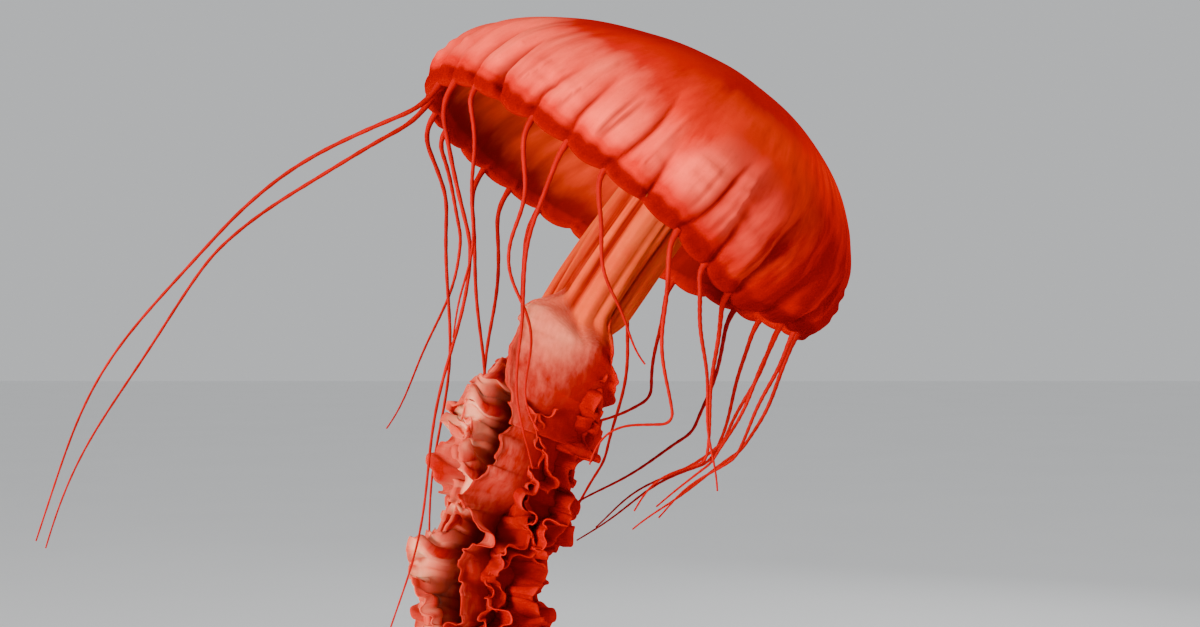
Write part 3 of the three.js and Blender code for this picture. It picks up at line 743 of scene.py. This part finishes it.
# Tentacles: one row each, three to an octant, round from the low side. A row holds the length, the heading
# that it leaves and ends with (degrees from straight down, + toward +X), the size and phase of its wave,
# where it kinks and by how much, and how far it drifts toward +Y.
tentacleShape = {
    "rootRadius": 1.5, "tipRadius": 0.5, "flare": 1.0, "flareFade": 30, "beading": 0.08,
    "steps": 96, "octant": 45, "spacing": 11.25, "rootShare": 0.985, "rootDepth": 6,
    "waves": 2.2, "kinkHalf": 0.04, "kinkBack": 0.55,
}
tentacles = [
    (190, -18, -40, 8, 0.2, 0.45, -30, 8),
    (210, -14, -34, 8, 0.6, 0.5, -38, 4),
    (230, -10, -30, 8, 0.1, 0.4, -42, -6),
    (225, -6, -14, 10, 0.4, 0.38, -60, -24),
    (290, -4, -12, 10, 0.9, 0.5, -30, -14),
    (330, -4, -14, 9, 0.3, 0.6, -16, 10),
    (350, -2, -16, 9, 0.7, 0.5, 0, 16),
    (360, 4, -20, 9, 0.2, 0.5, 0, 24),
    (370, 10, -22, 8, 0.5, 0.3, 0, 4),
    (215, 24, -26, 5, 0.4, 0.35, -16, 4),
    (340, 26, -2, 6, 0.4, 0.18, -18, -4),
    (385, -66, -22, 4, 0.1, 0.45, 6, -26),
    (385, -72, -16, 4, 0.4, 0.4, 2, -14),
    (340, 14, -8, 6, 0.7, 0.3, -14, -6),
    (150, 9, -16, 7, 0.1, 0.5, 0, 10),
    (185, -8, 14, 20, 0, 0.5, 0, 12),
    (190, -24, 12, 6, 0.3, 0.5, 0, 8),
    (115, -8, 34, 8, 0.9, 0.5, 0, 0),
    (165, -8, 16, 7, 0.1, 0.66, -92, -8),
    (130, 2, 6, 6, 0.4, 0.5, 0, -10),
    (150, -6, -6, 5, 0.2, 0.66, -62, -8),
    (140, -22, -34, 5, 0.5, 0.7, -26, -6),
    (150, -20, -36, 6, 0.2, 0.6, -24, -2),
    (170, -20, -38, 6, 0.8, 0.5, -26, 4),
]


def tentaclePath(index):
    length, first, last, wave, phase, kinkAt, kinkTurn, drift = tentacles[index]
    shape = tentacleShape
    steps = shape["steps"]
    turn = shape["octant"] * (index // 3) + shape["spacing"] * (1 + index % 3)
    theta = firstRhopalium + math.radians(turn)
    point = bellPoint(np.array([theta]), np.array([shape["rootShare"]]), np.array([shape["rootDepth"]]))[0]
    path = [point]
    for step in range(steps):
        s = (step + 0.5) / steps
        swing = wave * math.sin(2 * math.pi * (shape["waves"] * s + phase)) * ease(s, 0, 0.3)
        # a kink turns sharply, and then part of it eases out again
        kink = ease(s, kinkAt - shape["kinkHalf"], kinkAt + shape["kinkHalf"])
        kink = kink - shape["kinkBack"] * ease(s, kinkAt + 0.1, 1)
        heading = math.radians(mix(first, last, s) + swing + kinkTurn * kink)
        along = unit(np.array([math.sin(heading), drift / length, -math.cos(heading)]))
        along = unit(mix(along, -bellUp, 1 - ease(s, 0, 0.1)))  # it leaves the bell straight down its axis
        point = point + along * length / steps
        path.append(point)
    return np.array(path)


def makeTentacle(index):
    path = tentaclePath(index)
    shape = tentacleShape
    line = bpy.data.curves.new("tentacle_line", "CURVE")
    line.dimensions = "3D"
    line.bevel_depth = mm
    line.bevel_resolution = 3
    line.use_fill_caps = True
    spline = line.splines.new("POLY")
    spline.points.add(len(path) - 1)
    for k, (point, place) in enumerate(zip(path, np.linspace(0, 1, len(path)))):
        spline.points[k].co = (*(point * mm), 1)
        beading = 1 + shape["beading"] * math.sin(k * 1.9 + index)
        thick = mix(shape["rootRadius"], shape["tipRadius"], place) * beading
        spline.points[k].radius = thick + shape["flare"] * math.exp(-place * shape["flareFade"])
    deselectAll()
    holder = bpy.data.objects.new("tentacle_line", line)
    bpy.context.collection.objects.link(holder)
    holder.select_set(True)
    bpy.context.view_layer.objects.active = holder
    bpy.ops.object.convert(target="MESH")
    piece = named("tentacle_%02d_skin" % (index + 1))
    addFlow(piece, pointsOf(piece) / mm)
    faceOutwards(piece)
    return piece


# tentacle tissue: a wet muscular thread, dark wine red
tentacleJelly = jelly(
    "sea_nettle_tentacle_tissue", ("#a80000", "#8c0000"), [], "#c01000",
    {"Roughness": 0.42, "Subsurface_Weight": 0.2, "Subsurface_Scale": 1 * mm, "Specular_IOR_Level": 0.03},
    wart=5, streak=12,
)
for index in range(len(tentacles)):
    tentacle = makeTentacle(index)
    give(tentacle, tentacleJelly)
    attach(tentacle, "root")
    stem = "tentacle_%02d" % (index + 1)
    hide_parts(*[name for name in sorted(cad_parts) if name.startswith(stem)])
print("tentacles made")

# Rhopalia: the eight small sense organs, one in each deep cleft of the margin.
rhopalium = {
    "count": 8, "radius": 1.3, "share": 0.962, "depth": 6.5, "stretch": 1.5, "hook": 0.25, "hang": 2.0,
}
beads = []
for k in range(rhopalium["count"]):
    theta = firstRhopalium + 2 * math.pi * k / rhopalium["count"]
    place = bellPoint(np.array([theta]), np.array([rhopalium["share"]]), np.array([rhopalium["depth"]]))[0]
    deselectAll()
    bpy.ops.mesh.primitive_uv_sphere_add(segments=20, ring_count=12, radius=rhopalium["radius"] * mm)
    bead = named("rhopalium_%d" % (k + 1))
    start = pointsOf(bead) / mm
    start[:, 2] = start[:, 2] * rhopalium["stretch"] - rhopalium["hook"] * start[:, 0] ** 2
    movePoints(bead, start + place - bellUp * rhopalium["hang"])
    addFlow(bead, pointsOf(bead) / mm)
    faceOutwards(bead)
    beads.append(bead)
# the statocyst's crystals show as an ochre bead in the red
beadJelly = jelly(
    "rhopalium_tissue", ("#7c2606", "#6a1a04"), [], "#4c0c02",
    {"Roughness": 0.5, "Subsurface_Weight": 0.2, "Subsurface_Scale": 1 * mm, "Specular_IOR_Level": 0.1},
    wart=0.8, streak=2,
)
for bead in beads:
    give(bead, beadJelly)
    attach(bead, "root")
print("rhopalia made")

# The stand keeps its solids.
# powder-coated steel: a fine even orange peel, satin black. Sizes are in millimetres.
coat = {"mottle": 60, "peel": 1.6, "peelHeight": 0.2, "dark": "#19191b", "light": "#252528"}
coated, tree, surface = newMaterial("black_powder_coated_steel", Roughness=0.42, IOR=1.5)
place = node(tree, "ShaderNodeTexCoord").outputs["Object"]
cloud = node(tree, "ShaderNodeTexNoise", {"Vector": place},
             {"Scale": 1 / (coat["mottle"] * mm), "Detail": 3.0}).outputs[0]
tone = node(tree, "ShaderNodeMix", {0: cloud}, {6: coat["dark"], 7: coat["light"]},
            data_type="RGBA").outputs[2]
tree.links.new(tone, surface.inputs["Base Color"])
peel = node(tree, "ShaderNodeTexNoise", {"Vector": place},
            {"Scale": 1 / (coat["peel"] * mm), "Detail": 2.0}).outputs[0]
bump = node(tree, "ShaderNodeBump", {"Height": peel},
            {"Strength": 0.3, "Distance": coat["peelHeight"] * mm})
tree.links.new(bump.outputs[0], surface.inputs["Normal"])
rub = node(tree, "ShaderNodeMapRange", {"Value": peel}, {"To Min": 0.36, "To Max": 0.5}).outputs[0]
tree.links.new(rub, surface.inputs["Roughness"])

# brushed steel: fine lines along the rod, drawn out twenty times along Z
brush = {"line": 0.4, "lineHeight": 0.1, "drawnOut": 20, "dark": "#9a9da1", "light": "#c2c5c8"}
brushed, tree, surface = newMaterial("brushed_stainless_steel", Metallic=1.0)
place = node(tree, "ShaderNodeTexCoord").outputs["Object"]
drawn = node(tree, "ShaderNodeMapping", {"Vector": place},
             {"Scale": (1, 1, 1 / brush["drawnOut"])}).outputs[0]
lines = node(tree, "ShaderNodeTexNoise", {"Vector": drawn},
             {"Scale": 1 / (brush["line"] * mm), "Detail": 3.0}).outputs[0]
tone = node(tree, "ShaderNodeMix", {0: lines}, {6: brush["dark"], 7: brush["light"]},
            data_type="RGBA").outputs[2]
tree.links.new(tone, surface.inputs["Base Color"])
rub = node(tree, "ShaderNodeMapRange", {"Value": lines}, {"To Min": 0.22, "To Max": 0.42}).outputs[0]
tree.links.new(rub, surface.inputs["Roughness"])
bump = node(tree, "ShaderNodeBump", {"Height": lines},
            {"Strength": 0.2, "Distance": brush["lineHeight"] * mm})
tree.links.new(bump.outputs[0], surface.inputs["Normal"])

for name, material in (("stand_base", coated), ("stand_rod", brushed)):
    give(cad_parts[name], material)

# matt painted studio floor
floorPaint, tree, surface = newMaterial("pale_floor_paint", Roughness=0.7)
place = node(tree, "ShaderNodeTexCoord").outputs["Object"]
cloud = node(tree, "ShaderNodeTexNoise", {"Vector": place}, {"Scale": 2.5, "Detail": 3.0}).outputs[0]
tone = node(tree, "ShaderNodeMix", {0: cloud}, {6: "#ececec", 7: "#f2f2f2"}, data_type="RGBA").outputs[2]
tree.links.new(tone, surface.inputs["Base Color"])
give(studioFloor, floorPaint)
print("stand and floor finished")
